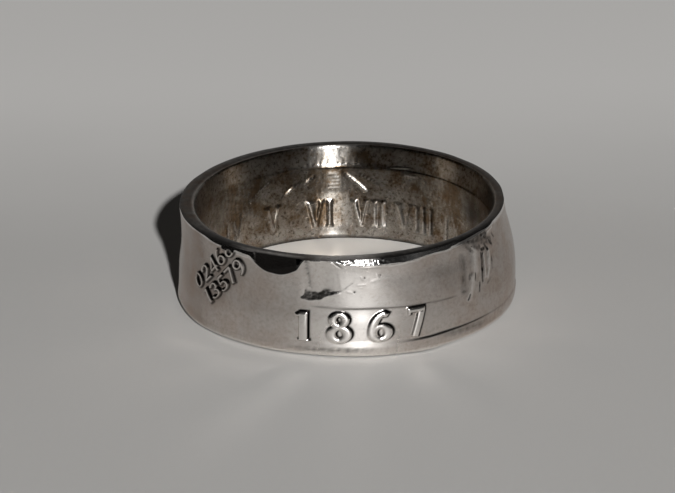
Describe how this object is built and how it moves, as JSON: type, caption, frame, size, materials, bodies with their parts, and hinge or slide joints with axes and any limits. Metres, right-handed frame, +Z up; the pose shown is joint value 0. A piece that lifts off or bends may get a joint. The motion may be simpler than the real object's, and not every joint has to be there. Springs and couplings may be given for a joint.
{
  "type": "coin ring",
  "caption": "Plain band ring folded from a struck silver coin, with raised numerals and low relief on both sides of the wall.",
  "frame": {"origin": "centre of the underside, where the ring rests", "axes": "+Z up along the finger hole, -Y towards the front with the large numerals"},
  "size_m": [0.0214, 0.0214, 0.0065],
  "materials": {
    "silver": "polished and worn coin silver, toned brown inside"
  },
  "bodies": {
    "root": {"band": "silver"}
  },
  "joints": []
}
